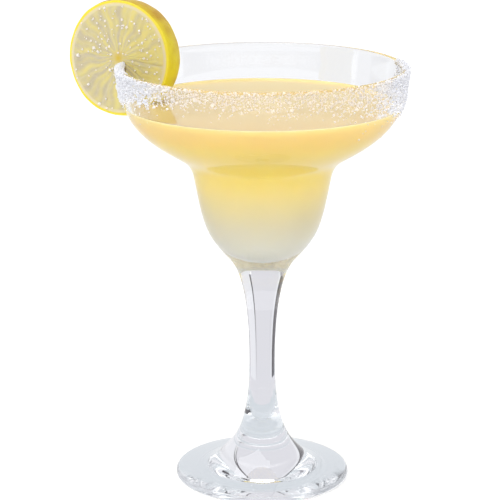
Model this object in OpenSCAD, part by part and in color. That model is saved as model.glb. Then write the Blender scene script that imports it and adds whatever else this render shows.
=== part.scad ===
// A margarita in its stemmed glass, with a salted lip and a wheel of lemon pushed onto it.
// Millimetres, +Z up. The origin is the middle of the foot's underside, at the table.

/* [Bowl] */
// Radius of the lip, to the middle of its rounded bead
lip_r = 57; // [50:0.5:69]
// Height of the bowl, from its shoulder up to the middle of the lip
bowl_h = 45; // [38:0.5:54]
// How far inside the middle of the lip the bowl's floor is flattest
floor_run = 18; // [14:0.5:22]
// Height of that flattest place above the shoulder
floor_rise = 12; // [9:0.5:15]
// Slope of the bowl's outside there
floor_slope = 31; // [26:1:36]
// Slope of the bowl's side at the lip
lip_slope = 82; // [78:1:86]
// Thickness of the lip, which is also the width of its bead
lip_t = 2; // [1.6:0.1:2.4]

/* [Cup under the bowl] */
// Outer radius of the cup at its top, where the shoulder starts
cup_r = 28; // [23:0.5:34]
// Height of the cup, from where the stem opens out to the shoulder
cup_h = 33; // [28:0.5:40]
// Outer radius where the stem opens out into the cup
spread_r = 14.5; // [12:0.5:17.5]
// Slope of the outside there
spread_slope = 47; // [42:1:52]
// Slope of the cup's side at its top
cup_slope = 79.5; // [76:0.5:84]
// Thickness of the cup's wall at the shoulder
cup_t = 2.6; // [2.1:0.1:3.2]
// How far the lowest point of the inside lies above the place where the stem opens out
well_rise = 3.5; // [2.75:0.25:4.25]

/* [Stem and foot] */
// Radius of the stem at its waist
stem_r = 5.4; // [4.5:0.1:6.5]
// Height of the waist above the table
waist_h = 50; // [42:1:60]
// Length of the stem, from the waist to where it opens out into the cup
stem_h = 45; // [37:1:54]
// Radius of the foot
foot_r = 36.2; // [31:0.2:43.5]
// Thickness of the foot at its rounded edge
foot_t = 2.9; // [2.4:0.1:3.5]
// Slope of the foot's top
foot_slope = 9.5; // [6:0.5:12]
// Radius where the stem's flare lands on the foot
flare_r = 23; // [20:0.5:26]
// Slope of the flare where it lands
flare_slope = 35; // [30:1:40]
// Inner radius of the flat ring that the foot stands on
ring_in_r = 27; // [22:0.5:29.5]
// Depth of the hollow inside that ring
hollow_h = 1.2; // [0.8:0.1:1.8]

/* [Drink] */
// How far the drink's surface lies below the middle of the lip
headroom = 15; // [12.5:0.5:18]
// Gap kept between the drink and what it touches
drink_gap = 0.05; // [0.02:0.01:0.1]

/* [Lemon wheel] */
// Radius of the lemon wheel at the middle of its rind
wheel_r = 23.8; // [19.6:0.2:28.6]
// Thickness of the wheel
wheel_t = 9.5; // [7.9:0.1:11.5]
// How much the rind bulges between the two cut faces
rind_bulge = 0.5; // [0.3:0.05:0.8]
// Round at the edges of the cut faces
wheel_round = 0.35; // [0.2:0.05:0.5]
// Direction of the wheel's middle, seen from above and counted from +X
wheel_azimuth = 168; // [160:1:176]
// How far outside the middle of the lip the wheel's middle lies
wheel_out = 0.6; // [0:0.1:1.5]
// How far above the middle of the lip the wheel's middle lies
wheel_up = 2.3; // [1.9:0.1:2.8]
// How far the wheel's face is turned from the front to the left
wheel_yaw = 27; // [22:1:32]
// How far the wheel leans back
wheel_tilt = 3.5; // [0:0.5:6]
// Gap between the wheel's slot and the glass
slot_gap = 0.15; // [0.1:0.05:0.3]

/* [Salt] */
// Direction where the salt starts, clear of the wheel
salt_from = 177; // [175:1:185]
// Direction where the salt ends, past the right of the glass
salt_to = 376; // [360:1:390]
// Depth of the salt below the lip in front, where it is thinnest
salt_depth = 6.5; // [5:0.5:8]
// Extra depth of the salt at its two ends
salt_more = 7; // [5.5:0.5:8.5]
// Thickness of the crust in front
salt_t = 0.5; // [0.4:0.05:0.7]
// Extra thickness of the crust at its two ends
salt_more_t = 1; // [0.8:0.1:1.2]
// Gap between the crust and the glass
salt_gap = 0.06; // [0.04:0.01:0.1]

/* [Hidden] */

SMOOTH = 180;        // facets of a full turn
CURVE_STEPS = 20;    // steps along one curve of the outline
ARC_STEPS = 10;      // steps along one arc
WALL_ROWS = 7;       // rows of the crust down the wall
SLOT_ROWS = 6;       // rows of the slot down the wall
RIND_STEPS = 8;      // steps across the rind
ROUND_STEPS = 3;     // steps round a small corner
BEAD_ROWS = 4;       // rows of the crust over the lip
SALT_STEP = 2;       // degrees between two sections of the crust
THIN = 0.25;         // thickness of the crust at its lower edge and on top of the lip
SWELL = 1.6;         // how soon the crust reaches its full thickness, upwards from its lower edge
UNEVEN_DEPTH = 1.2;  // how far the crust's lower edge wanders
UNEVEN_T = 0.12;     // how far the crust's thickness wanders

// Waves that make the crust uneven: share, count in a full turn, start in degrees
WAVES = [[0.5, 7, 0], [0.3, 17, 40], [0.2, 31, 110]];

// How strongly each curve of the outline holds its slope at its two ends, as shares of its length
HOLLOW_PULLS = [0.45, 0.2];
FLARE_PULLS = [0.3, 0.6];
STEM_PULLS = [0.75, 0.1];
CUP_PULLS = [0.37, 0.56];
STEP_PULLS = [0.41, 0.46];
SIDE_PULLS = [0.6, 0.33];
WELL_PULLS = [0.4, 0.1];
HOLLOW_SLOPE = -12;  // slope of the hollow where it meets the ring

bead_r = lip_t / 2;
spread_z = waist_h + stem_h;
shoulder_z = spread_z + cup_h;
lip_z = shoulder_z + bowl_h;
well_z = spread_z + well_rise;
drink_z = lip_z - headroom;
floor_r = lip_r - floor_run;
floor_z = shoulder_z + floor_rise;
wheel_middle = concat((lip_r + wheel_out) * along(wheel_azimuth), [lip_z + wheel_up]);

// ---- Curves in a plane. A slope is an angle counted from the outward radius, in degrees. ----

function along(a) = [cos(a), sin(a)];

function arc(middle, r, from, to, steps = ARC_STEPS) =
    [for (i = [0:steps]) middle + r * along(from + (to - from) * i / steps)];

// A smooth curve from a to b that leaves and arrives at the given slopes.
// The two pulls say how strongly each end holds its own slope, as shares of the distance.
function bend(a, slope_a, b, slope_b, pulls) =
    let (
        reach = norm(b - a),
        p = a + pulls[0] * reach * along(slope_a),
        q = b - pulls[1] * reach * along(slope_b)
    )
    [for (i = [0:CURVE_STEPS])
        let (t = i / CURVE_STEPS, s = 1 - t)
        s * s * s * a + 3 * s * s * t * p + 3 * s * t * t * q + t * t * t * b];

// The curve moved to its left by a thickness that runs from t0 to t1.
function moved_left(path, t0, t1) =
    let (last = len(path) - 1)
    [for (i = [0:last])
        let (
            step = path[min(i + 1, last)] - path[max(i - 1, 0)],
            side = [-step[1], step[0]] / norm(step)
        )
        path[i] + side * (t0 + (t1 - t0) * i / last)];

function without_first(path) = [for (i = [1:len(path) - 1]) path[i]];

function reversed(path) = [for (i = [len(path) - 1:-1:0]) path[i]];

function swapped(path) = [for (p = path) [p[1], p[0]]];

// ---- The glass's outline ----

lip_middle = [lip_r, lip_z];
lip_outside = lip_middle + bead_r * along(lip_slope - 90);
edge_middle = [foot_r - foot_t / 2, foot_t / 2];
edge_top = edge_middle + foot_t / 2 * along(90 - foot_slope);
flare_foot = [flare_r, edge_top[1] + (edge_top[0] - flare_r) * tan(foot_slope)];
waist = [stem_r, waist_h];
spread = [spread_r, spread_z];
shoulder = [cup_r, shoulder_z];
bowl_floor = [floor_r, floor_z];

foot_edge = arc(edge_middle, foot_t / 2, -90, 90 - foot_slope);
flare = bend(flare_foot, 180 - flare_slope, waist, 90, FLARE_PULLS);
stem = bend(waist, 90, spread, spread_slope, STEM_PULLS);
cup = bend(spread, spread_slope, shoulder, cup_slope, CUP_PULLS);
step = bend(shoulder, cup_slope, bowl_floor, floor_slope, STEP_PULLS);
side = bend(bowl_floor, floor_slope, lip_outside, lip_slope, SIDE_PULLS);
bowl_outside = concat(step, without_first(side));
bowl_inside = moved_left(bowl_outside, cup_t, lip_t);
well = bend([0, well_z], 0, bowl_inside[0], cup_slope, WELL_PULLS);
bead = arc(lip_middle, bead_r, lip_slope - 90, lip_slope + 90);

inside = concat(well, without_first(bowl_inside));
hollow = bend([0, hollow_h], 0, [ring_in_r, 0], HOLLOW_SLOPE, HOLLOW_PULLS);

glass_outline = concat(
    hollow,
    foot_edge,
    flare,
    without_first(stem),
    without_first(cup),
    without_first(bowl_outside),
    without_first(bead),
    without_first(reversed(inside))
);

// ---- The outside and inside radius of the bowl at a height ----

outside_by_height = swapped(bowl_outside);
inside_by_height = swapped(without_first(inside));

function outside_r(z) = lookup(z, outside_by_height);

function inside_r(z) = lookup(z, inside_by_height);

drink_wall = moved_left(inside, drink_gap, drink_gap);
drink_outline = concat(
    [[0, well_z + drink_gap]],
    [for (p = without_first(drink_wall)) if (p[1] < drink_z - drink_gap) p],
    [[inside_r(drink_z) - drink_gap, drink_z], [0, drink_z]]
);

// The wall of the bowl with the slot's gap all round it, from just under the wheel up over the lip.
slot_foot_z = max(floor_z, lip_z + wheel_up - wheel_r - wheel_t * sin(wheel_tilt) - bead_r);
slot_heights = [for (i = [0:SLOT_ROWS]) slot_foot_z + (lip_z - slot_foot_z) * i / SLOT_ROWS];
slot_outline = concat(
    [for (z = slot_heights) [outside_r(z) + slot_gap, z]],
    arc(lip_middle, bead_r + slot_gap, 0, 180, SLOT_ROWS),
    reversed([for (z = slot_heights) [inside_r(z) - slot_gap, z]])
);

// ---- Pieces ----

module glass() {
    color("lightcyan", 0.4)
    rotate_extrude($fn = SMOOTH)
    polygon(glass_outline);
}

module drink() {
    color("khaki")
    difference() {
        rotate_extrude($fn = SMOOTH)
        polygon(drink_outline);
        in_wheel_place()
        wheel_room();
    }
}

module lemon_wheel() {
    color("gold")
    difference() {
        in_wheel_place()
        uncut_wheel();
        rotate_extrude($fn = SMOOTH)
        polygon(slot_outline);
    }
}

// Puts a wheel that faces the front where the lemon wheel sits on the lip.
module in_wheel_place() {
    translate(wheel_middle)
    rotate([-wheel_tilt, 0, -wheel_yaw])
    children();
}

// The room that the wheel takes in the drink, with its axis along Y.
module wheel_room() {
    rotate([90, 0, 0])
    cylinder(h = wheel_t + 2 * drink_gap, r = wheel_r + drink_gap, center = true, $fn = SMOOTH);
}

// The wheel before its slot is cut, with its axis along Y.
module uncut_wheel() {
    half = wheel_t / 2;
    face_r = wheel_r - rind_bulge;
    corner = face_r - wheel_round;
    flank = half - wheel_round;
    low = arc([corner, -flank], wheel_round, -90, 0, ROUND_STEPS);
    high = arc([corner, flank], wheel_round, 0, 90, ROUND_STEPS);
    rind = [for (i = [1:RIND_STEPS - 1])
        let (share = 2 * i / RIND_STEPS - 1)
        [face_r + rind_bulge * (1 - share * share), flank * share]];
    rotate([90, 0, 0])
    rotate_extrude($fn = SMOOTH)
    polygon(concat(
        [[0, -half]],
        low,
        rind,
        high,
        [[0, half]]
    ));
}

module salt_rim() {
    color("white")
    polyhedron(points = salt_points, faces = salt_faces);
}

// ---- The salt crust: a band swept round the lip, with an uneven lower edge ----

// How near a direction is to one of the two ends, from 0 in front to 1 at an end.
function near_end(a) =
    pow(abs(a - (salt_from + salt_to) / 2) / ((salt_to - salt_from) / 2), 3);

// A wave between -1 and 1 that doesn't repeat as it goes round.
function ripple(a) = [for (w = WAVES) w[0] * sin(w[1] * a + w[2])] * [1, 1, 1];

function depth_at(a) = salt_depth + salt_more * near_end(a) + UNEVEN_DEPTH * ripple(a);

function thickness_at(a) = salt_t + salt_more_t * near_end(a) + UNEVEN_T * ripple(3 * a);

// One section of the crust, in radius and height: up its outside, over the lip and down the glass.
function salt_section(a) =
    let (
        d = depth_at(a),
        t = thickness_at(a),
        heights = [for (i = [0:WALL_ROWS]) lip_outside[1] - d * (1 - i / WALL_ROWS)],
        swell = [for (i = [0:WALL_ROWS]) THIN + (t - THIN) * sin(90 * min(1, SWELL * i / WALL_ROWS))]
    )
    concat(
        [for (i = [0:WALL_ROWS]) [outside_r(heights[i]) + salt_gap + swell[i], heights[i]]],
        [for (i = [1:BEAD_ROWS])
            let (share = i / BEAD_ROWS)
            lip_middle + (bead_r + salt_gap + t + (THIN - t) * share) * along(90 * share)],
        [for (i = [BEAD_ROWS:-1:1]) lip_middle + (bead_r + salt_gap) * along(90 * i / BEAD_ROWS)],
        [for (i = [WALL_ROWS:-1:0]) [outside_r(heights[i]) + salt_gap, heights[i]]]
    );

salt_count = ceil((salt_to - salt_from) / SALT_STEP);
salt_sections = [for (i = [0:salt_count])
    let (a = salt_from + (salt_to - salt_from) * i / salt_count)
    [for (p = salt_section(a)) [p[0] * cos(a), p[0] * sin(a), p[1]]]];
salt_ring = len(salt_sections[0]);
salt_points = [for (s = salt_sections) each s];
salt_faces = concat(
    [[for (i = [0:salt_ring - 1]) i]],
    [for (s = [0:salt_count - 1], i = [0:salt_ring - 1])
        let (
            a = s * salt_ring + i,
            b = s * salt_ring + (i + 1) % salt_ring
        )
        each [[a, a + salt_ring, b], [b, a + salt_ring, b + salt_ring]]],
    [[for (i = [salt_ring - 1:-1:0]) salt_count * salt_ring + i]]
);

glass();
drink();
lemon_wheel();
salt_rim();
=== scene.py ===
"""A margarita in its stemmed glass: clear glass, cloudy drink, salted lip and a wheel of lemon.

Everything is in metres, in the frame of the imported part. Sizes that the frame holds are read from it.
"""

import logging
import math
from dataclasses import dataclass, field
from enum import Enum

import bpy
import numpy as np
from mathutils import Matrix, Vector

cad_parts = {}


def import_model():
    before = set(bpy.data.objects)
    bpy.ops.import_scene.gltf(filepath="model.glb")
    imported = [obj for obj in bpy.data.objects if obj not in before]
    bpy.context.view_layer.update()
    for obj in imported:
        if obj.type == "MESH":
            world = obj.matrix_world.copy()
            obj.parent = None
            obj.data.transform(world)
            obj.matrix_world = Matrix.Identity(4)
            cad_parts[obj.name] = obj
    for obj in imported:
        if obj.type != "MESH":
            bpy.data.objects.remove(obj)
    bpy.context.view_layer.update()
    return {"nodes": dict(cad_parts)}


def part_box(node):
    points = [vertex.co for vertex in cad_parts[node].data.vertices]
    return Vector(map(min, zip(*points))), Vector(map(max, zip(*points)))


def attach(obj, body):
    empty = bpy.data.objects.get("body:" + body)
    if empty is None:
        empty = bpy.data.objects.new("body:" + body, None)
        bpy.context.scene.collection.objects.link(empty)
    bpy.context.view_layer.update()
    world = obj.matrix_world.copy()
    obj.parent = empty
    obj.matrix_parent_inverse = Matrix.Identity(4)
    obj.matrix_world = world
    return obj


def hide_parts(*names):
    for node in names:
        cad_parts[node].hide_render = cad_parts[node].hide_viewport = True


MM = 0.001
LOG = logging.getLogger("margarita")

Colour = tuple[float, float, float, float]


class Slot(Enum):
    """The record's material slots."""

    GLASS = "clear_glass"
    DRINK = "margarita"
    LEMON = "lemon"
    SALT = "salt"


# ---------------------------------------------------------------- small helpers


def linear(code: str) -> Colour:
    """Turn an sRGB hex code into a linear colour.

    Args:
        code: Six hex digits, such as "f5d682".

    Returns:
        The linear red, green, blue and an alpha of 1.
    """
    parts = [int(code[i : i + 2], 16) / 255 for i in (0, 2, 4)]
    bent = [p / 12.92 if p <= 0.04045 else ((p + 0.055) / 1.055) ** 2.4 for p in parts]
    return (bent[0], bent[1], bent[2], 1.0)


def add_node(
    tree: bpy.types.NodeTree,
    kind: str,
    settings: dict[str, object] | None = None,
    links: dict[str | int, bpy.types.NodeSocket] | None = None,
) -> bpy.types.Node:
    """Add a node, set it up and link what feeds it.

    Args:
        tree: The node tree that gets the node.
        kind: Blender's name of the node type.
        settings: Values by input socket name, or by property name when no input has that name.
        links: Output sockets that feed this node, by input socket name or number.

    Returns:
        The new node.
    """
    node = tree.nodes.new(kind)
    for name, value in (settings or {}).items():
        if name in node.inputs:
            node.inputs[name].default_value = value
        elif name.isdigit():
            node.inputs[int(name)].default_value = value
        else:
            setattr(node, name, value)
    for name, source in (links or {}).items():
        tree.links.new(source, node.inputs[name])
    return node


def add_ramp(
    tree: bpy.types.NodeTree, factor: bpy.types.NodeSocket, stops: list[tuple[float, Colour]]
) -> bpy.types.NodeSocket:
    """Add a colour ramp.

    Args:
        tree: The node tree that gets the ramp.
        factor: The value that runs along the ramp.
        stops: Positions from 0 to 1 and their linear colours, in order.

    Returns:
        The ramp's colour output.
    """
    node = add_node(tree, "ShaderNodeValToRGB", links={"Fac": factor})
    ramp = node.color_ramp
    while len(ramp.elements) < len(stops):
        ramp.elements.new(0.5)
    for element, (place, colour) in zip(ramp.elements, stops):
        element.position = place
        element.color = colour
    return node.outputs["Color"]


def blend(
    tree: bpy.types.NodeTree,
    share: bpy.types.NodeSocket,
    start: bpy.types.NodeSocket | Colour,
    end: bpy.types.NodeSocket | Colour,
) -> bpy.types.NodeSocket:
    """Mix two colours.

    Args:
        tree: The node tree that gets the mixing node.
        share: How much of the end colour shows, from 0 to 1.
        start: The colour at 0, from a node or fixed.
        end: The colour at 1, from a node or fixed.

    Returns:
        The mixed colour.
    """
    node = add_node(tree, "ShaderNodeMix", {"data_type": "RGBA"}, {0: share})
    for number, colour in ((6, start), (7, end)):
        if isinstance(colour, bpy.types.NodeSocket):
            tree.links.new(colour, node.inputs[number])
        else:
            node.inputs[number].default_value = colour
    return node.outputs[2]


def new_material(name: str) -> tuple[bpy.types.Material, bpy.types.NodeTree]:
    """Start an empty node material.

    Args:
        name: The material's name.

    Returns:
        The material and its node tree, with no nodes in it.
    """
    material = bpy.data.materials.new(name)
    material.use_nodes = True
    material.node_tree.nodes.clear()
    return material, material.node_tree


def finish_material(tree: bpy.types.NodeTree, shader: bpy.types.Node) -> None:
    """Link a shader to the material's output.

    Args:
        tree: The material's node tree.
        shader: The node whose first output is the surface.
    """
    add_node(tree, "ShaderNodeOutputMaterial", links={"Surface": shader.outputs[0]})


def mesh_object(
    name: str, points: np.ndarray, faces: list | np.ndarray, smooth: bool = True
) -> bpy.types.Object:
    """Make a mesh object from arrays.

    Args:
        name: The object's name.
        points: The vertices, one row each, in metres.
        faces: The faces, as rows or lists of vertex numbers.
        smooth: Whether the faces are shaded smooth.

    Returns:
        The object, linked to the scene.
    """
    mesh = bpy.data.meshes.new(name)
    mesh.from_pydata(points.tolist(), [], faces if isinstance(faces, list) else faces.tolist())
    mesh.polygons.foreach_set("use_smooth", [smooth] * len(mesh.polygons))
    mesh.update()
    made = bpy.data.objects.new(name, mesh)
    bpy.context.scene.collection.objects.link(made)
    return made


def lathe(name: str, outline: np.ndarray, sides: int) -> bpy.types.Object:
    """Turn an outline about the Z axis into a closed mesh.

    Args:
        name: The piece's name.
        outline: Rows of radius and height that start and end on the axis.
        sides: How many sides a full turn has.

    Returns:
        The turned object.
    """
    turn = np.arange(sides) * 2 * math.pi / sides
    rings = outline[1:-1]
    count = len(rings)
    radius, height = rings[:, 0][:, None], rings[:, 1][:, None]
    x, y = radius * np.cos(turn), radius * np.sin(turn)
    body = np.stack([x, y, np.broadcast_to(height, x.shape)], -1).reshape(-1, 3)
    ends = np.array([[0, 0, outline[0, 1]], [0, 0, outline[-1, 1]]])
    points = np.vstack([body, ends])
    first, last = count * sides, count * sides + 1
    faces = []
    for k in range(sides):
        after = (k + 1) % sides
        faces.append([first, after, k])
        faces.append([last, (count - 1) * sides + k, (count - 1) * sides + after])
        for i in range(count - 1):
            low, high = i * sides, (i + 1) * sides
            faces.append([low + k, low + after, high + after, high + k])
    return mesh_object(name, points, faces)


def ring(name: str, section: np.ndarray, sides: int) -> bpy.types.Object:
    """Turn a closed section that stands clear of the axis into a ring.

    Args:
        name: The object's name.
        section: Rows of radius and height, anticlockwise.
        sides: How many sides a full turn has.

    Returns:
        The ring.
    """
    turn = np.arange(sides) * 2 * math.pi / sides
    r, z = section[:, 0][None, :], section[:, 1][None, :]
    x, y = r * np.cos(turn)[:, None], r * np.sin(turn)[:, None]
    points = np.stack([x, y, np.broadcast_to(z, x.shape)], -1).reshape(-1, 3)
    count = len(section)
    faces = []
    for k in range(sides):
        here, there = k * count, (k + 1) % sides * count
        for i in range(count):
            after = (i + 1) % count
            faces.append([here + i, there + i, there + after, here + after])
    return mesh_object(name, points, faces)


def keep_modified(piece: bpy.types.Object) -> None:
    """Apply every modifier of a piece to its mesh.

    Args:
        piece: The object.
    """
    graph = bpy.context.evaluated_depsgraph_get()
    made = bpy.data.meshes.new_from_object(piece.evaluated_get(graph))
    piece.modifiers.clear()
    piece.data = made


def crystal_heap(
    name: str, middles: np.ndarray, sizes: np.ndarray, random: np.random.Generator
) -> bpy.types.Object:
    """Join many small crystals into one mesh: cubes, stretched unevenly, with chipped corners.

    Args:
        name: The piece's name.
        middles: Where each crystal lies, one row each.
        sizes: How large each crystal is, corner to corner along its edges.
        random: The source of chance.

    Returns:
        The joined crystals.
    """
    cube = np.array([[x, y, z] for x in (-0.5, 0.5) for y in (-0.5, 0.5) for z in (-0.5, 0.5)])
    sides = np.array([[0, 1, 3, 2], [4, 6, 7, 5], [0, 4, 5, 1], [2, 3, 7, 6], [0, 2, 6, 4], [1, 5, 7, 3]])
    shortest, longest, chipping = 0.65, 1.15, 0.07
    count = len(middles)
    corners = cube[None] * random.uniform(shortest, longest, (count, 1, 3))
    corners = corners + random.normal(0, chipping, (count, 8, 3))
    q = random.normal(size=(count, 4))
    q /= np.linalg.norm(q, axis=1)[:, None]
    w, x, y, z = q.T
    turn = np.stack(
        [
            np.stack([1 - 2 * (y * y + z * z), 2 * (x * y - z * w), 2 * (x * z + y * w)], -1),
            np.stack([2 * (x * y + z * w), 1 - 2 * (x * x + z * z), 2 * (y * z - x * w)], -1),
            np.stack([2 * (x * z - y * w), 2 * (y * z + x * w), 1 - 2 * (x * x + y * y)], -1),
        ],
        1,
    )
    points = np.einsum("nij,nkj->nki", turn, corners) * sizes[:, None, None] + middles[:, None, :]
    faces = (sides[None] + 8 * np.arange(count)[:, None, None]).reshape(-1, 4)
    return mesh_object(name, points.reshape(-1, 3), faces, smooth=False)


def dress(piece: bpy.types.Object, slot: Slot, *materials: bpy.types.Material) -> None:
    """Give a piece its materials and its body.

    Args:
        piece: The object.
        slot: Not used.
        materials: Its materials, in slot order.
    """
    piece.data.materials.clear()
    for material in materials:
        piece.data.materials.append(material)
    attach(piece, "root")
    LOG.info("%s: %d faces", piece.name, len(piece.data.polygons))


# ---------------------------------------------------------------- the glass's outline


@dataclass
class Outline:
    """The glass's outline in one half plane, from the foot's middle round to the well's middle.

    The lip ends in a round bead, whose radius is `bead`.
    """

    points: np.ndarray
    bead: float = 1.0 * MM

    @classmethod
    def of_node(cls, node: bpy.types.Object) -> "Outline":
        """Read the outline from a turned CAD node, along the seam at +X.

        Args:
            node: The CAD node.

        Returns:
            The outline, in order from the lower end on the axis to the upper one.
        """
        grain = 1e-7
        spots = {}
        for v in node.data.vertices:
            if abs(v.co.y) < grain and v.co.x > -grain:
                spots[v.index] = (round(v.co.x / grain), round(v.co.z / grain))
        beside: dict[tuple[int, int], set[tuple[int, int]]] = {}
        for edge in node.data.edges:
            a, b = (spots.get(i) for i in edge.vertices)
            if a and b and a != b:
                beside.setdefault(a, set()).add(b)
                beside.setdefault(b, set()).add(a)
        at = min((p for p in beside if p[0] == 0), key=lambda p: p[1])
        path, seen = [at], {at}
        while True:
            onward = [p for p in beside[at] if p not in seen]
            if not onward:
                break
            at = min(onward, key=lambda p: math.dist(p, path[-1]))
            path.append(at)
            seen.add(at)
        return cls(np.array(path, float) * grain)

    def refined(self, steps: int, corner: float) -> np.ndarray:
        """Round the outline's facets with a smooth curve through its points.

        Args:
            steps: How many short steps each facet becomes.
            corner: The turn in degrees above which a point stays a corner.

        Returns:
            Rows of radius and height.
        """
        p = self.points
        move = np.diff(p, axis=0)
        heading = np.degrees(np.unwrap(np.arctan2(move[:, 1], move[:, 0])))
        sharp = {i + 1 for i, t in enumerate(np.abs(np.diff(heading))) if t > corner}
        out = [p[0]]
        for i in range(len(p) - 1):
            a, b = p[i], p[i + 1]
            before = a - (b - a) if i == 0 or i in sharp else p[i - 1]
            after = b + (b - a) if i + 2 >= len(p) or i + 1 in sharp else p[i + 2]
            run = np.linalg.norm(b - a)
            leave = (b - before) / (np.linalg.norm(b - a) + np.linalg.norm(a - before)) * run
            reach = (after - a) / (np.linalg.norm(after - b) + np.linalg.norm(b - a)) * run
            for k in range(1, steps + 1):
                t = k / steps
                h = (2 * t**3 - 3 * t**2 + 1, t**3 - 2 * t**2 + t, 3 * t**2 - 2 * t**3, t**3 - t**2)
                out.append(h[0] * a + h[1] * leave + h[2] * b + h[3] * reach)
        made = np.array(out)
        made[:, 0] = np.maximum(made[:, 0], 0)
        made[0, 0] = made[-1, 0] = 0
        return made

    @property
    def lip(self) -> int:
        """The number of the highest point."""
        return int(np.argmax(self.points[:, 1]))

    def outside_radius(self, z: np.ndarray) -> np.ndarray:
        """Give the glass's outer radius at each height.

        Args:
            z: The heights.

        Returns:
            The radii.
        """
        rise = self.points[: self.lip + 1]
        rise = rise[rise[:, 1].argsort()]
        return np.interp(z, rise[:, 1], rise[:, 0])

    def inside(self) -> np.ndarray:
        """Give the inner side of the outline, from the well's middle up to the lip."""
        return self.points[self.lip :][::-1]


# ---------------------------------------------------------------- finishes


@dataclass(frozen=True)
class PressedSodaGlass:
    """Clear soda-lime glass, pressed and fire-polished: mirror smooth, but never quite flat."""

    ior: float = 1.52
    tint: str = "fbfcfd"
    wave_size_mm: float = 14.0
    wave_height_mm: float = 0.012

    def material(self) -> bpy.types.Material:
        """Make the material.

        Returns:
            Colourless, mirror-smooth glass with the faint waviness that pressing leaves.
        """
        made, tree = new_material("pressed_soda_glass")
        place = add_node(tree, "ShaderNodeTexCoord")
        wave = add_node(
            tree,
            "ShaderNodeTexNoise",
            {"Scale": 1 / (self.wave_size_mm * MM), "Detail": 1.0, "Roughness": 0.4},
            {"Vector": place.outputs["Object"]},
        )
        bump = add_node(
            tree,
            "ShaderNodeBump",
            {"Strength": 1.0, "Distance": self.wave_height_mm * MM},
            {"Height": wave.outputs["Fac"]},
        )
        shader = add_node(
            tree,
            "ShaderNodeBsdfPrincipled",
            {
                "Base Color": linear(self.tint),
                "Roughness": 0.0,
                "IOR": self.ior,
                "Transmission Weight": 1.0,
            },
            {"Normal": bump.outputs["Normal"]},
        )
        finish_material(tree, shader)
        return made


@dataclass(frozen=True)
class CloudyMargarita:
    """Lime juice, tequila and orange liqueur, shaken: cloudy on top, settling paler towards the bottom."""

    ior: float = 1.35
    # Painted shade on the level top, with painted light towards the back.
    surface: str = "cead60"
    surface_behind: str = "dcc685"
    under_surface: str = "efd793"
    upper: str = "fbe889"
    golden: str = "ffeb88"
    lower: str = "f2e6b0"
    settled: str = "e8e0c2"
    bottom: str = "e5e2d0"
    front_to_back_mm: float = 90.0
    cloud_mm: float = 22.0
    cloud_shift_mm: float = 4.0
    level_from: float = 0.5
    level_to: float = 0.8
    roughness: float = 0.08
    scatter_mm: float = 6.0

    def material(self, low: float, high: float) -> bpy.types.Material:
        """Make the material.

        Args:
            low: Height of the drink's lowest point.
            high: Height of its surface.

        Returns:
            A wet surface over light that scatters inside. Its colour changes with height, and the level
            top, told by how far up its normal points, takes a painted shade that is painted paler towards
            the back.
        """
        made, tree = new_material("cloudy_margarita")
        place = add_node(tree, "ShaderNodeTexCoord")
        axes = add_node(tree, "ShaderNodeSeparateXYZ", links={"Vector": place.outputs["Object"]})
        cloud = add_node(
            tree,
            "ShaderNodeTexNoise",
            {"Scale": 1 / (self.cloud_mm * MM), "Detail": 3.0},
            {"Vector": place.outputs["Object"]},
        )
        drift = add_node(
            tree,
            "ShaderNodeMath",
            {
                "operation": "MULTIPLY_ADD",
                "1": self.cloud_shift_mm * MM,
                "2": -self.cloud_shift_mm / 2 * MM,
            },
            {0: cloud.outputs["Fac"]},
        )
        height = add_node(
            tree,
            "ShaderNodeMath",
            {"operation": "ADD"},
            {0: axes.outputs["Z"], 1: drift.outputs[0]},
        )
        share = add_node(
            tree,
            "ShaderNodeMapRange",
            {"From Min": low, "From Max": high},
            {"Value": height.outputs[0]},
        )
        colour = add_ramp(
            tree,
            share.outputs[0],
            [
                (0.10, linear(self.bottom)),
                (0.22, linear(self.settled)),
                (0.40, linear(self.lower)),
                (0.60, linear(self.golden)),
                (0.84, linear(self.upper)),
                (0.97, linear(self.under_surface)),
            ],
        )
        # Painted shade: the level top, told by its upward normal, is darker than the drink below it, and
        # painted paler towards the back.
        facing = add_node(tree, "ShaderNodeNewGeometry")
        upward = add_node(tree, "ShaderNodeSeparateXYZ", links={"Vector": facing.outputs["Normal"]})
        at_surface = add_node(
            tree,
            "ShaderNodeMapRange",
            {"From Min": self.level_from, "From Max": self.level_to},
            {"Value": upward.outputs["Z"]},
        )
        behind = add_node(
            tree,
            "ShaderNodeMapRange",
            {"From Min": -self.front_to_back_mm / 2 * MM, "From Max": self.front_to_back_mm / 2 * MM},
            {"Value": axes.outputs["Y"]},
        )
        surface = blend(tree, behind.outputs[0], linear(self.surface), linear(self.surface_behind))
        colour = blend(tree, at_surface.outputs[0], colour, surface)
        shader = add_node(
            tree,
            "ShaderNodeBsdfPrincipled",
            {
                "Roughness": self.roughness,
                "IOR": self.ior,
                "Subsurface Weight": 0.6,
                "Subsurface Radius": (1.0, 0.9, 0.7),
                "Subsurface Scale": self.scatter_mm * MM,
            },
            {"Base Color": colour},
        )
        finish_material(tree, shader)
        return made


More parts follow.
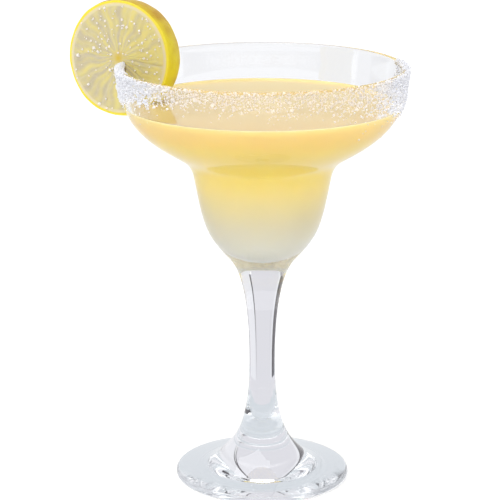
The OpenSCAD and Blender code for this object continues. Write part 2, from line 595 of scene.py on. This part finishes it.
@dataclass(frozen=True)
class LemonFlesh:
    """A fresh lemon, sliced with a knife: waxy yellow skin, thin white pith and wet, clear pulp."""

    skin: str = "dccf1e"
    # Painted shade: the deeper gold of the skin's top and back, mixed with a random mottle.
    skin_mottle_and_shade: str = "b28a00"
    zest: str = "e3d23c"
    pith: str = "dcd1ac"
    pulp: str = "bfb497"
    # Clear pulp, also used as painted light where the pulp is painted lighter towards the right.
    pulp_clear_and_lit: str = "dacd80"
    membrane: str = "d6ccaa"
    core: str = "d2b848"
    ior: float = 1.4
    wet_roughness: float = 0.22
    skin_roughness: float = 0.42
    mottle_mm: float = 7.0
    pore_mm: float = 0.9
    pore_depth_mm: float = 0.25
    fibres_and_light_weight: float = 0.8
    clear_and_lit_from: float = 0.45
    clear_and_lit_to: float = 1.25
    mottle_weight: float = 0.9
    mottle_and_shade_from: float = 0.55
    mottle_and_shade_to: float = 1.25
    scatter_mm: float = 2.5

    def material(self) -> bpy.types.Material:
        """Make the material.

        Returns:
            Pitted waxy skin where the mesh says skin, painted a deeper gold on its top and back as painted
            shade, and wet flesh with paler walls round each drop of juice, painted lighter to the right as
            painted light.
        """
        made, tree = new_material("fresh_lemon")
        place = add_node(tree, "ShaderNodeTexCoord")

        def mask(name: str) -> bpy.types.NodeSocket:
            """Read one of the mesh's own masks."""
            return add_node(tree, "ShaderNodeAttribute", {"attribute_name": name}).outputs["Fac"]

        mottle = add_node(
            tree,
            "ShaderNodeTexNoise",
            {"Scale": 1 / (self.mottle_mm * MM), "Detail": 3.0},
            {"Vector": place.outputs["Object"]},
        )
        pores = add_node(
            tree,
            "ShaderNodeTexVoronoi",
            {"Scale": 1 / (self.pore_mm * MM), "feature": "SMOOTH_F1", "Smoothness": 0.6},
            {"Vector": place.outputs["Object"]},
        )
        # Painted light: besides the fibres and the mottle, the mask read here makes the pulp lighter
        # towards the right.
        fibres_light_mottle = add_node(
            tree,
            "ShaderNodeMath",
            {"operation": "MULTIPLY_ADD", "1": self.fibres_and_light_weight},
            {0: mask("fibres_and_light"), 2: mottle.outputs["Fac"]},
        )
        clear = add_node(
            tree,
            "ShaderNodeMapRange",
            {"From Min": self.clear_and_lit_from, "From Max": self.clear_and_lit_to},
            {"Value": fibres_light_mottle.outputs[0]},
        )
        pulp = blend(tree, clear.outputs[0], linear(self.pulp), linear(self.pulp_clear_and_lit))
        pulp = blend(tree, mask("wall"), pulp, linear(self.membrane))
        pulp = blend(tree, mask("core"), pulp, linear(self.core))
        flesh = blend(tree, mask("pith"), pulp, linear(self.pith))
        # Painted shade: the skin turns a deeper gold on its top and its back, by the mesh's mask, mixed
        # with a random mottle.
        mottle_and_shade = add_node(
            tree,
            "ShaderNodeMath",
            {"operation": "MULTIPLY_ADD", "1": self.mottle_weight},
            {0: mottle.outputs["Fac"], 2: mask("painted_shade")},
        )
        mottle_and_shade = add_node(
            tree,
            "ShaderNodeMapRange",
            {"From Min": self.mottle_and_shade_from, "From Max": self.mottle_and_shade_to},
            {"Value": mottle_and_shade.outputs[0]},
        )
        skin = blend(tree, mottle_and_shade.outputs[0], linear(self.skin), linear(self.skin_mottle_and_shade))
        skin = blend(tree, mask("zest"), skin, linear(self.zest))
        colour = blend(tree, mask("skin"), flesh, skin)
        depth = add_node(
            tree,
            "ShaderNodeMath",
            {"operation": "MULTIPLY"},
            {0: pores.outputs["Distance"], 1: mask("skin")},
        )
        bump = add_node(
            tree,
            "ShaderNodeBump",
            {"Strength": 0.5, "Distance": self.pore_depth_mm * MM, "invert": True},
            {"Height": depth.outputs[0]},
        )
        gloss = add_node(
            tree,
            "ShaderNodeMapRange",
            {"To Min": self.wet_roughness, "To Max": self.skin_roughness},
            {"Value": mask("skin")},
        )
        shader = add_node(
            tree,
            "ShaderNodeBsdfPrincipled",
            {
                "IOR": self.ior,
                "Subsurface Weight": 0.5,
                "Subsurface Radius": (1.0, 0.8, 0.3),
                "Subsurface Scale": self.scatter_mm * MM,
            },
            {"Base Color": colour, "Normal": bump.outputs["Normal"], "Roughness": gloss.outputs[0]},
        )
        finish_material(tree, shader)
        return made


@dataclass(frozen=True)
class CoarseSalt:
    """Coarse crystals of table salt: white, with a painted warm light where the drink and the lemon lie
    behind them.
    """

    ior: float = 1.544
    dry: str = "ebecf2"
    # Painted light: the warm tint of the drink's light through the crystals.
    wet: str = "f4e6d3"
    clearness: float = 0.08
    smoothest: float = 0.1
    roughest: float = 0.45
    frost_mm: float = 1.2
    scatter_mm: float = 0.8

    def material(self) -> bpy.types.Material:
        """Make the material.

        Returns:
            Small cloudy crystals, some frosted and some that glint.
        """
        made, tree = new_material("coarse_salt")
        place = add_node(tree, "ShaderNodeTexCoord")
        cloud = add_node(
            tree,
            "ShaderNodeTexNoise",
            {"Scale": 1 / (self.frost_mm * MM), "Detail": 1.0},
            {"Vector": place.outputs["Object"]},
        )
        rough = add_node(
            tree,
            "ShaderNodeMapRange",
            {"To Min": self.smoothest, "To Max": self.roughest},
            {"Value": cloud.outputs["Fac"]},
        )
        # Painted light: this mask gives the crystals the warm tint of the drink's light behind them.
        wet = add_node(tree, "ShaderNodeAttribute", {"attribute_name": "wet"})
        colour = blend(tree, wet.outputs["Fac"], linear(self.dry), linear(self.wet))
        shader = add_node(
            tree,
            "ShaderNodeBsdfPrincipled",
            {
                "IOR": self.ior,
                "Transmission Weight": self.clearness,
                "Subsurface Weight": 0.3,
                "Subsurface Radius": (1.0, 1.0, 1.0),
                "Subsurface Scale": self.scatter_mm * MM,
            },
            {"Base Color": colour, "Roughness": rough.outputs[0]},
        )
        finish_material(tree, shader)
        return made


# ---------------------------------------------------------------- sub-assemblies


@dataclass
class Stemware:
    """The glass itself: foot, stem, cup and bowl in one pressed piece."""

    outline: Outline
    finish: PressedSodaGlass = field(default_factory=PressedSodaGlass)
    sides: int = 192
    steps: int = 2
    corner: float = 20

    def build(self) -> bpy.types.Object:
        """Turn the smooth glass and dress it.

        Returns:
            The glass.
        """
        glass = lathe("glass_body", self.outline.refined(self.steps, self.corner), self.sides)
        dress(glass, Slot.GLASS, self.finish.material())
        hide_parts("glass")
        return glass


@dataclass
class Margarita:
    """The drink, from the well up to its surface, with a curved edge where it climbs the glass."""

    outline: Outline
    level: float
    finish: CloudyMargarita = field(default_factory=CloudyMargarita)
    into_wall: float = 0.25 * MM
    climb: float = 0.9 * MM  # how high the edge climbs the glass
    climb_run: float = 1.6 * MM  # how far in the climb fades
    climb_steps: int = 14
    level_steps: int = 12
    sides: int = 160

    def build(self) -> bpy.types.Object:
        """Turn the drink and dress it.

        Returns:
            The drink, which reaches a little into the glass wall, so that no film of air shows.
        """
        inner = self.outline.inside()
        below = inner[inner[:, 1] < self.level + self.climb]
        wall = below[1:] + np.array([self.into_wall, 0])
        edge_r = float(np.interp(self.level + self.climb, inner[1:, 1], inner[1:, 0]))
        run = np.linspace(0, 4 * self.climb_run, self.climb_steps)
        rise = self.climb * np.exp(-run / self.climb_run)
        top = np.column_stack([edge_r - run, self.level + rise])
        inward = np.linspace(top[-1, 0], 0, self.level_steps)[1:]
        flat = np.column_stack([inward, np.full(inward.size, self.level)])
        bottom = np.array([[0, inner[0, 1] - self.into_wall]])
        rim = np.array([[edge_r + self.into_wall, self.level + self.climb]])
        outline = np.vstack([bottom, wall, rim, top, flat])
        drink = lathe("drink_body", outline, self.sides)
        dress(drink, Slot.DRINK, self.finish.material(inner[0, 1], self.level))
        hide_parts("drink")
        return drink


@dataclass
class LemonWheel:
    """A wheel of lemon, slit from its edge to its middle and pushed onto the lip."""

    outline: Outline
    low: Vector
    high: Vector
    finish: LemonFlesh = field(default_factory=LemonFlesh)
    thickness: float = 9.5 * MM
    yaw: float = math.radians(27)
    lean: float = math.radians(3.5)
    bulge: float = 0.5 * MM
    edge_round: float = 0.35 * MM
    slot_gap: float = 0.15 * MM
    slot_rows: int = 24
    segments: int = 10
    zest_width: float = 1.05 * MM
    pith_width: float = 1.0 * MM
    core_radius: float = 1.9 * MM
    drop_length: float = 4.2 * MM
    drops_across: float = 5.0
    film_mm: float = 0.08  # how far the whole flesh swells out of the cut
    drop_swell_mm: float = 0.15  # how far each drop of juice swells above that
    wall_share: float = 0.35  # how much paler the walls of the drops are
    membrane_share: float = 0.6  # how much paler the membranes between segments are
    lumpiness: float = 0.8
    angles: int = 300
    face_rings: int = 56

    def build(self) -> bpy.types.Object:
        """Build the wheel, cut its slot and dress it.

        Returns:
            The wheel.
        """
        wheel = self.uncut()
        self.cut_slot(wheel)
        self.mark(wheel.data)
        dress(wheel, Slot.LEMON, self.finish.material())
        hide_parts("lemon_wheel")
        return wheel

    @property
    def radius(self) -> float:
        """The radius at the middle of the rind."""
        return (self.high.z - self.low.z) / 2

    def place(self) -> Matrix:
        """Give the wheel's place.

        Returns:
            A move to the lip and a turn that shows the face to the front and left.
        """
        middle = (self.low + self.high) / 2
        turn = Matrix.Rotation(-self.yaw, 4, "Z") @ Matrix.Rotation(-self.lean, 4, "X")
        return Matrix.Translation(middle) @ turn

    def segment_share(self, angle: np.ndarray) -> tuple[np.ndarray, np.ndarray]:
        """Say where an angle lies among the uneven segments.

        Args:
            angle: Angles round the wheel.

        Returns:
            The segment's number and the share of the way across it.
        """
        warped = angle + 0.10 * np.sin(2 * angle + 0.6) + 0.07 * np.sin(3 * angle + 2.1)
        place = (warped / (2 * math.pi)) % 1 * self.segments
        return np.floor(place), place % 1

    def pulp_depth(self, r: np.ndarray, angle: np.ndarray) -> np.ndarray:
        """Measure how far a point lies inside its segment, from the nearest membrane, pith or core.

        Args:
            r: Distances from the wheel's middle.
            angle: Angles round the wheel.

        Returns:
            The depths, with the corners between membrane, pith and core rounded.
        """
        _, share = self.segment_share(angle)
        aside = r * (2 * math.pi / self.segments) * np.minimum(share, 1 - share)
        out = self.radius - self.bulge - self.zest_width - self.pith_width - r
        inner = r - self.core_radius
        soft = 0.5 * MM
        return -soft * np.log(np.exp(-aside / soft) + np.exp(-out / soft) + np.exp(-inner / soft))

    def drop_walls(self, r: np.ndarray, angle: np.ndarray) -> np.ndarray:
        """Measure how near a point is to the wall between two drops of juice.

        Args:
            r: Distances from the wheel's middle.
            angle: Angles round the wheel.

        Returns:
            0 at a wall, and more towards the middle of a drop.
        """
        number, share = self.segment_share(angle)
        u, v = r / self.drop_length, share * self.drops_across
        cell_u, cell_v = np.floor(u), np.floor(v)
        near = np.full(u.shape, 9.0)
        second = near.copy()
        for du in (-1, 0, 1):
            for dv in (-1, 0, 1):
                a, b = cell_u + du, cell_v + dv
                # Each drop's middle lies somewhere in its own cell, and in the same place each run.
                along = np.sin(a * 127.1 + b * 311.7 + number * 74.7) * 43758.5453 % 1
                aside = np.sin(a * 269.5 + b * 183.3 + number * 51.1) * 22578.1459 % 1
                gap = np.hypot(a + along - u, b + aside - v)
                second = np.minimum(second, np.maximum(gap, near))
                near = np.minimum(near, gap)
        return second - near

    def relief(self, r: np.ndarray, angle: np.ndarray) -> np.ndarray:
        """Give the height of the cut face: drops of juice swell a little between their walls.

        Args:
            r: Distances from the wheel's middle.
            angle: Angles round the wheel.

        Returns:
            The heights above the flat cut, a little below it at the core.
        """
        slope, wall, sunk = 0.9 * MM, 0.16, 0.1 * MM
        inside = np.clip(self.pulp_depth(r, angle) / slope, 0, 1)
        drops = 1 - np.exp(-self.drop_walls(r, angle) / wall)
        return inside * (self.film_mm + self.drop_swell_mm * drops) * MM - sunk * (r < self.core_radius)

    def uncut(self) -> bpy.types.Object:
        """Build the closed wheel before its slot is cut.

        Returns:
            The wheel, in place: front face, rind and back face in one skin.
        """
        half = self.thickness / 2
        face_r = self.radius - self.bulge
        flat = np.linspace(0, face_r - self.edge_round, self.face_rings)[1:]
        quarter = np.linspace(0, math.pi / 2, 4)[1:]
        corner_r = face_r - self.edge_round * (1 - np.sin(quarter))
        corner_y = half - self.edge_round * (1 - np.cos(quarter))
        across = np.linspace(-1, 1, 26)[1:-1]
        rind_r = face_r + self.bulge * (1 - across**2)
        rind_y = across * (half - self.edge_round)
        r = np.concatenate([flat, corner_r, rind_r, corner_r[::-1], flat[::-1]])
        level = np.full(flat.size, half)
        y = np.concatenate([-level, -corner_y, rind_y, corner_y[::-1], level])
        one = np.ones(flat.size)
        side = np.concatenate([-one, np.zeros(y.size - 2 * flat.size), one])
        turn = np.arange(self.angles) * 2 * math.pi / self.angles
        rr, aa = np.meshgrid(r, turn, indexing="ij")
        yy = np.broadcast_to(y[:, None], rr.shape).copy()
        face = np.broadcast_to(side[:, None], rr.shape)
        yy += face * np.where(face != 0, self.relief(rr, aa), 0)
        skin = np.clip((rr - (face_r - 1.5 * self.edge_round)) / self.edge_round, 0, 1)
        lumps = 0.16 * np.sin(3 * aa + 1.0) + 0.10 * np.sin(7 * aa + yy / (2.6 * MM))
        lumps += 0.05 * np.sin(19 * aa + 2)
        rr = rr + skin * lumps * MM * self.lumpiness
        points = np.stack([rr * np.cos(aa), yy, rr * np.sin(aa)], -1).reshape(-1, 3)
        poles = np.array([[0, -half, 0], [0, half, 0]])
        count, sides = r.size, self.angles
        faces = []
        front, back = count * sides, count * sides + 1
        for k in range(sides):
            after = (k + 1) % sides
            faces.append([front, k, after])
            faces.append([back, (count - 1) * sides + after, (count - 1) * sides + k])
            for i in range(count - 1):
                a, b = i * sides, (i + 1) * sides
                faces.append([a + k, b + k, b + after, a + after])
        wheel = mesh_object("lemon_slice", np.vstack([points, poles]), faces)
        wheel.matrix_world = self.place()
        return wheel

    def cut_slot(self, wheel: bpy.types.Object) -> None:
        """Cut the slot that follows the glass wall, with a round end over the lip's bead.

        Args:
            wheel: The uncut wheel.
        """
        top = self.outline.points[self.outline.lip]
        inner = self.outline.inside()
        clear_below = 4 * MM
        z = np.linspace(self.low.z - clear_below, top[1] - self.outline.bead, self.slot_rows)
        outer_r = self.outline.outside_radius(z) + self.slot_gap
        inner_r = np.interp(z, inner[1:, 1], inner[1:, 0]) - self.slot_gap
        bend = np.linspace(0, math.pi, 9)
        half = (outer_r[-1] - inner_r[-1]) / 2
        cap_r = (outer_r[-1] + inner_r[-1]) / 2 + half * np.cos(bend)
        cap_z = z[-1] + (top[1] + self.slot_gap - z[-1]) * np.sin(bend)
        section_r = np.concatenate([outer_r, cap_r[1:-1], inner_r[::-1]])
        section_z = np.concatenate([z, cap_z[1:-1], z[::-1]])
        section = np.column_stack([section_r, section_z])
        cutter = ring("slot_cutter", section, 240)
        cut = wheel.modifiers.new("slot", "BOOLEAN")
        cut.operation, cut.solver, cut.object = "DIFFERENCE", "EXACT", cutter
        keep_modified(wheel)
        bpy.data.objects.remove(cutter)
        wheel.data.set_sharp_from_angle(angle=math.radians(50))

    def mark(self, mesh: bpy.types.Mesh) -> None:
        """Store on the mesh where its skin, pith, core and walls are, and where shade and light are
        painted, for the finish to read.

        Args:
            mesh: The wheel's mesh.
        """
        co = np.zeros(len(mesh.vertices) * 3)
        mesh.vertices.foreach_get("co", co)
        x, y, z = co.reshape(-1, 3).T
        r, angle = np.hypot(x, z), np.arctan2(z, x)
        face_r = self.radius - self.bulge
        zest_r = face_r - self.zest_width
        pith_r = zest_r - self.pith_width
        depth = self.pulp_depth(r, angle)
        walls = np.exp(-self.drop_walls(r, angle) / 0.13) * self.wall_share
        membrane = np.clip(1 - depth / (0.45 * MM), 0, 1) * self.membrane_share
        # Fibres run out from the core, a little bent, and the pulp is painted clearer and lighter to the
        # right, which is painted light.
        wander = angle + 0.05 * np.sin(r / (1.7 * MM))
        fibres_and_light = 0.5 + 0.25 * np.sin(11 * wander + 0.4) + 0.25 * np.sin(27 * wander + 1.1)
        # Painted light: lighter pulp towards the right.
        fibres_and_light += 0.45 * x / self.radius
        # Painted shade: the skin is painted a deeper gold towards its top and its back.
        shade_on_top = np.clip(1.6 * z / self.radius - 0.2, 0, 1)
        marks = {
            "skin": np.clip((r - zest_r) / (0.5 * MM) + 0.5, 0, 1),
            "painted_shade": 0.25 * (0.5 + y / self.thickness) + 0.6 * shade_on_top,
            "zest": np.clip((np.abs(y) - self.thickness / 2 + 0.5 * MM) / (0.4 * MM), 0, 1),
            "pith": np.clip((r - pith_r) / (0.7 * MM) + 0.5, 0, 1),
            "core": np.exp(-((r / (2.4 * MM)) ** 2)),
            "wall": np.maximum(membrane, walls),
            "fibres_and_light": fibres_and_light,
        }
        for name, values in marks.items():
            layer = mesh.attributes.new(name, "FLOAT", "POINT")
            layer.data.foreach_set("value", values.astype(np.float32))


@dataclass
class SaltedLip:
    """Salt stuck to the lip, thick at its two ends and loose in front, and a little on the lemon."""

    outline: Outline
    wheel: LemonWheel
    finish: CoarseSalt = field(default_factory=CoarseSalt)
    start: float = math.radians(173.5)
    end: float = math.radians(376)
    above: float = 0.9 * MM  # how far it reaches up beside the bead
    deepest: float = 18 * MM
    depth: float = 6.5 * MM  # how far down it goes in front
    more_depth: float = 7.0 * MM  # what the two ends add to that
    right_depth: float = 6.0 * MM  # what the right side adds again
    depth_wave: float = 1.2 * MM
    crust: float = 0.15 * MM  # how thick the layer is in front
    more_crust: float = 1.0 * MM  # what the two ends add to that
    grain: float = 0.55 * MM
    off_wall: float = 0.45  # how much of a grain its middle stands off the glass
    fine_grain: float = 0.3 * MM
    fine_off_wall: float = 0.4
    smallest: float = 0.2 * MM
    largest: float = 1.3 * MM
    size_spread: float = 0.3
    tries: int = 24000
    front_share: float = 0.13  # how much of the coarse salt sticks in front
    fine_tries: int = 8000
    fine_front_share: float = 0.35
    spilled: int = 150
    bead_tries: int = 2600
    bead_run: float = math.radians(26)  # how far from each end the bead is salted
    ragged: float = math.radians(5)  # how far in each end frays
    seed: int = 7

    def build(self) -> None:
        """Scatter the crystals, join them and dress them."""
        random = np.random.default_rng(self.seed)
        crystals = self.crystals(random)
        dress(crystals, Slot.SALT, self.finish.material())
        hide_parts("salt_rim")

    def near_end(self, a: np.ndarray) -> np.ndarray:
        """Say how near a direction is to one of the salt's ends, from 0 in front to 1."""
        middle, half = (self.start + self.end) / 2, (self.end - self.start) / 2
        return (np.abs(a - middle) / half) ** 3

    def reach(self, a: np.ndarray) -> np.ndarray:
        """Give how far down the glass the salt goes, with an uneven lower edge.

        Args:
            a: Directions from the axis.

        Returns:
            The depths below the lip's bead, more at the ends and most at the right.
        """
        wave = 0.5 * np.sin(7 * a) + 0.3 * np.sin(17 * a + 0.7) + 0.2 * np.sin(31 * a + 1.9)
        right = np.clip((a - 1.5 * math.pi) / (0.4 * math.pi), 0, 1) * self.right_depth
        return self.depth + self.more_depth * self.near_end(a) + right + self.depth_wave * wave

    def wall_point(self, a: np.ndarray, down: np.ndarray, out: np.ndarray | float) -> np.ndarray:
        """Give points on the glass's outside.

        Args:
            a: Directions from the axis.
            down: How far below the lip's bead, or above it when negative.
            out: How far the point stands off the glass.

        Returns:
            The points, one row each.
        """
        top = self.outline.points[self.outline.lip]
        below_bead = 1.1 * self.outline.bead
        z = top[1] - below_bead - down
        r = self.outline.outside_radius(z) + out
        return np.stack([r * np.cos(a), r * np.sin(a), z], -1)

    def on_bead(self, random: np.random.Generator) -> np.ndarray:
        """Scatter grains over the top and the inside of the lip, near the salt's two ends.

        Args:
            random: The source of chance.

        Returns:
            Their middles, one row each.
        """
        along = random.uniform(0, self.bead_run, self.bead_tries)
        first = random.random(self.bead_tries) < 0.5
        a = np.where(first, self.start + along, self.end - along)
        round_bead = random.uniform(0.1 * math.pi, 1.25 * math.pi, self.bead_tries)
        top = self.outline.points[self.outline.lip]
        bead = self.outline.bead
        away = bead + self.fine_off_wall * self.fine_grain
        r = top[0] + away * np.cos(round_bead)
        z = top[1] - bead + away * np.sin(round_bead)
        return np.stack([r * np.cos(a), r * np.sin(a), z], -1)

    def coarse(self, random: np.random.Generator) -> np.ndarray:
        """Scatter coarse crystals over the outside, in layers at the two ends and thin in front.

        Args:
            random: The source of chance.

        Returns:
            Their middles, one row each.
        """
        a = random.uniform(self.start, self.end, self.tries)
        down = random.uniform(-self.above, self.deepest, self.tries)
        near = self.near_end(a)
        thickening, edge_blur, front, front_fade = 2.2, 0.7 * MM, 0.4, 9 * MM
        cover = self.front_share + (1 - self.front_share) * np.clip(near * thickening, 0, 1)
        edge = 1 / (1 + np.exp((down - self.reach(a)) / edge_blur))
        thin = np.where(near < front, np.exp(-np.maximum(down, 0) / front_fade), 1)
        frayed = np.clip(np.minimum(a - self.start, self.end - a) / self.ragged, 0, 1)
        kept = random.random(self.tries) < cover * edge * thin * frayed
        a, down, near = a[kept], down[kept], near[kept]
        layer = self.crust + self.more_crust * near
        out = self.off_wall * self.grain + layer * random.random(a.size)
        return self.wall_point(a, down, out)

    def dust(self, random: np.random.Generator) -> np.ndarray:
        """Scatter fine grains over the outside, most of them near the lip.

        Args:
            random: The source of chance.

        Returns:
            Their middles, one row each.
        """
        a = random.uniform(self.start, self.end, self.fine_tries)
        spread = 0.6
        down = np.abs(random.normal(0, 1, self.fine_tries)) * self.reach(a) * spread - self.above
        share = self.fine_front_share + (1 - self.fine_front_share) * self.near_end(a)
        kept = random.random(self.fine_tries) < share
        return self.wall_point(a[kept], down[kept], self.fine_off_wall * self.fine_grain)

    def crystals(self, random: np.random.Generator) -> bpy.types.Object:
        """Scatter all the crystals and mark how much painted warm light each one takes.

        Args:
            random: The source of chance.

        Returns:
            The crystals, joined: painted warm in front, for the drink's light through them, half as warm
                on the lemon, and white at the ends.
        """
        coarse = self.coarse(random)
        fine = np.vstack([self.dust(random), self.on_bead(random)])
        spilled = self.on_lemon(random)
        middles = np.vstack([coarse, fine, spilled])
        counts = [len(coarse), len(fine), len(spilled)]
        typical = np.repeat([self.grain, self.fine_grain, self.grain], counts)
        size = typical * random.lognormal(0, self.size_spread, len(middles))
        size = np.clip(size, self.smallest, self.largest)
        heap = crystal_heap("salt_crystals", middles, size, random)
        around = np.arctan2(middles[:, 1], middles[:, 0]) % (2 * math.pi)
        around = np.where(around < self.start - 0.5, around + 2 * math.pi, around)
        # Painted light: warm in front, half as warm on the lemon, fading to white at the ends.
        tint_fade, lemon_tint_share = 6, 0.5
        wet = 1 - np.clip(self.near_end(around) * tint_fade, 0, 1)
        wet[-len(spilled) :] = lemon_tint_share
        layer = heap.data.attributes.new("wet", "FLOAT", "POINT")
        layer.data.foreach_set("value", np.repeat(wet, 8).astype(np.float32))
        LOG.info("salt: %d crystals", len(middles))
        return heap

    def on_lemon(self, random: np.random.Generator) -> np.ndarray:
        """Spill a few crystals over the front face of the lemon.

        Args:
            random: The source of chance.

        Returns:
            Their middles, one row each.
        """
        inside_rind, off_face = 2 * MM, 0.35 * MM
        r = (self.wheel.radius - inside_rind) * np.sqrt(random.random(self.spilled))
        a = random.uniform(0, 2 * math.pi, self.spilled)
        height = np.full(self.spilled, -self.wheel.thickness / 2 - off_face)
        points = np.stack([r * np.cos(a), height, r * np.sin(a), np.ones(self.spilled)], -1)
        return (points @ np.array(self.wheel.place()).T)[:, :3]


# ---------------------------------------------------------------- the stage


@dataclass
class Studio:
    """A pale floor, a white surround, soft lights and the camera."""

    distance: float = 795 * MM
    height: float = 316.5 * MM
    pitch: float = math.radians(15.42)
    turn: float = math.radians(0.368)
    lens: float = 144.4
    floor_half: float = 6.0
    near_ring: float = 0.1
    far_ring: float = 0.3
    sweep_grey: str = "e1e0e6"
    world_light: float = 1.0
    glass_light: float = 0.8
    softbox_place: tuple[float, float, float] = (-0.4, -0.3, 1.6)
    softbox_aim: tuple[float, float, float] = (-0.4, -0.3, 1.5)
    softbox_watts: float = 12.0

    def build(self) -> None:
        """Set everything that isn't the object."""
        self.floor()
        self.surround()
        self.cards()
        self.lights()
        self.camera()
        self.light_paths()
        bpy.context.scene.view_settings.view_transform = "Standard"

    def light_paths(self) -> None:
        """Let light pass sharply through the glass wall and back, so that the drink behind it is lit."""
        cycles = bpy.context.scene.cycles
        cycles.blur_glossy = 0.0
        cycles.max_bounces = 48
        cycles.diffuse_bounces = 8
        cycles.glossy_bounces = 32
        cycles.transmission_bounces = 32

    def floor(self) -> None:
        """Lay a large matt white floor, and under it grey and bluish sweeps that only the glass shows."""
        half = self.floor_half
        around = np.array([[-half, -half, 0], [half, -half, 0], [half, half, 0], [-half, half, 0]])
        self.sheet("floor", around, self.matt("white_floor", "ffffff"), in_glass=False)
        for name, wide, front, back, height, code in (
            ("grey_sweep", 1.0, -0.05, self.far_ring, -0.2 * MM, self.sweep_grey),
            ("blue_sweep", 1.0, -0.4, -0.05, -0.2 * MM, "cfdbe8"),
            ("foot_sweep", 0.05, -0.05, 0.05, -0.1 * MM, "d5dbe1"),
        ):
            corners = ((-wide, front), (wide, front), (wide, back), (-wide, back))
            under = np.array([[x, y, height] for x, y in corners])
            self.sheet(name, under, self.glow(name, code), in_glass=True)

    def sheet(
        self, name: str, points: np.ndarray, material: bpy.types.Material, in_glass: bool
    ) -> bpy.types.Object:
        """Place one sheet, made of quads side by side.

        Args:
            name: The sheet's name.
            points: The corners, as pairs along the sheet when there are more than four.
            material: Its material.
            in_glass: Whether only what is seen through glass shows it, or only the open view does.

        Returns:
            The sheet.
        """
        faces = [[0, 1, 2, 3]]
        if len(points) > 4:
            faces = [[i, i + 2, i + 3, i + 1] for i in range(0, len(points) - 2, 2)]
        made = mesh_object(name, points, faces, smooth=False)
        made.data.materials.append(material)
        made.visible_camera = made.visible_diffuse = made.visible_shadow = not in_glass
        made.visible_transmission = in_glass
        made.visible_glossy = False
        return made

    def matt(self, name: str, code: str) -> bpy.types.Material:
        """Make a matt material.

        Args:
            name: Its name.
            code: Its colour.

        Returns:
            The material.
        """
        made, tree = new_material(name)
        finish_material(tree, add_node(tree, "ShaderNodeBsdfDiffuse", {"Color": linear(code)}))
        return made

    def glow(self, name: str, code: str) -> bpy.types.Material:
        """Make a material that shows one even colour, whatever light falls on it.

        Args:
            name: Its name.
            code: Its colour.

        Returns:
            The material.
        """
        made, tree = new_material(name)
        shine = add_node(tree, "ShaderNodeEmission", {"Color": linear(code), "Strength": 1.0})
        finish_material(tree, shine)
        return made

    def cards(self) -> None:
        """Stand grey, pale and dark cards in arcs, which only the glass shows.

        A near, low row stands behind the stem and another in front of it, and a far, high row behind
        the bowl. Between them the cup looks out at a bright card.
        """
        grey, pale, dark, middling = self.sweep_grey, "eeeef3", "4c484e", "a3a1a9"
        for name, start, end, low_code, high_code in (
            ("grey_card", -30, 18, grey, grey),
            ("dark_line_card", 18, 20.5, dark, grey),
            ("pale_card_right", 20.5, 58, pale, pale),
            ("edge_card_right", 58, 72, middling, pale),
            ("pale_card_far_right", 72, 85, pale, pale),
            ("pale_card_left", -36, -30, pale, pale),
            ("dark_card", -66, -36, dark, middling),
            ("pale_card_far_left", -85, -66, pale, pale),
        ):
            self.arc_card(f"{name}_low", self.near_ring, start, end, 0, 120 * MM, low_code)
            self.arc_card(f"{name}_front", self.near_ring, start + 180, end + 180, 0, 90 * MM, low_code)
            self.arc_card(f"{name}_high", self.far_ring, start, end, 150 * MM, 420 * MM, high_code)
        self.arc_card("bright_card", self.far_ring, -85, 85, 0, 150 * MM, "f9f9fb")

    def arc_card(
        self, name: str, away: float, start: float, end: float, low: float, high: float, code: str
    ) -> None:
        """Stand one upright curved card that only the glass shows.

        Args:
            name: The card's name.
            away: Its distance from the axis.
            start: Where it starts, in degrees to the right of straight behind.
            end: Where it ends.
            low: The height of its lower edge.
            high: The height of its upper edge.
            code: Its colour.
        """
        turn = np.radians(np.linspace(start, end, 2 + int(abs(end - start) / 5)))
        x, y = away * np.sin(turn), away * np.cos(turn)
        lower, upper = np.full(turn.size, low), np.full(turn.size, high)
        points = np.stack([np.stack([x, y, lower], -1), np.stack([x, y, upper], -1)], 1).reshape(-1, 3)
        self.sheet(name, points, self.glow(name, code), in_glass=True)

    def surround(self) -> None:
        """Light everything evenly from a white surround, which is brighter where glass shows it."""
        world = bpy.data.worlds.new("surround")
        bpy.context.scene.world = world
        world.use_nodes = True
        tree = world.node_tree
        tree.nodes.clear()
        path = add_node(tree, "ShaderNodeLightPath")
        strength = add_node(
            tree,
            "ShaderNodeMath",
            {"operation": "MULTIPLY_ADD", "1": self.glass_light, "2": self.world_light},
            {0: path.outputs["Is Transmission Ray"]},
        )
        white = {"Color": linear("ffffff")}
        back = add_node(tree, "ShaderNodeBackground", white, {"Strength": strength.outputs[0]})
        add_node(tree, "ShaderNodeOutputWorld", links={"Surface": back.outputs[0]})

    def lights(self) -> None:
        """Hang a large softbox overhead."""
        lamp = bpy.data.lights.new("softbox_top", "AREA")
        lamp.shape = "RECTANGLE"
        lamp.size, lamp.size_y = 1.6, 1.2
        lamp.energy = self.softbox_watts
        made = bpy.data.objects.new("softbox_top", lamp)
        made.location = self.softbox_place
        made.rotation_euler = Vector(self.softbox_aim).to_track_quat("Z", "Y").to_euler()
        bpy.context.scene.collection.objects.link(made)

    def camera(self) -> None:
        """Stand the camera in front, a little above the lip."""
        lens = bpy.data.cameras.new("camera")
        lens.sensor_width = 36.0
        lens.lens = self.lens
        made = bpy.data.objects.new("camera", lens)
        made.location = (0, -self.distance, self.height)
        made.rotation_euler = (math.pi / 2 - self.pitch, 0, self.turn)
        bpy.context.scene.collection.objects.link(made)
        bpy.context.scene.camera = made


def main() -> None:
    """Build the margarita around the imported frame."""
    logging.basicConfig(level=logging.INFO, format="%(message)s")
    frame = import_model()
    outline = Outline.of_node(frame["nodes"]["glass"])
    LOG.info("outline: %d points", len(outline.points))
    Stemware(outline).build()
    Margarita(outline, level=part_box("drink")[1].z).build()
    wheel = LemonWheel(outline, *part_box("lemon_wheel"))
    wheel.build()
    SaltedLip(outline, wheel).build()
    Studio().build()


if __name__ == "__main__":
    main()
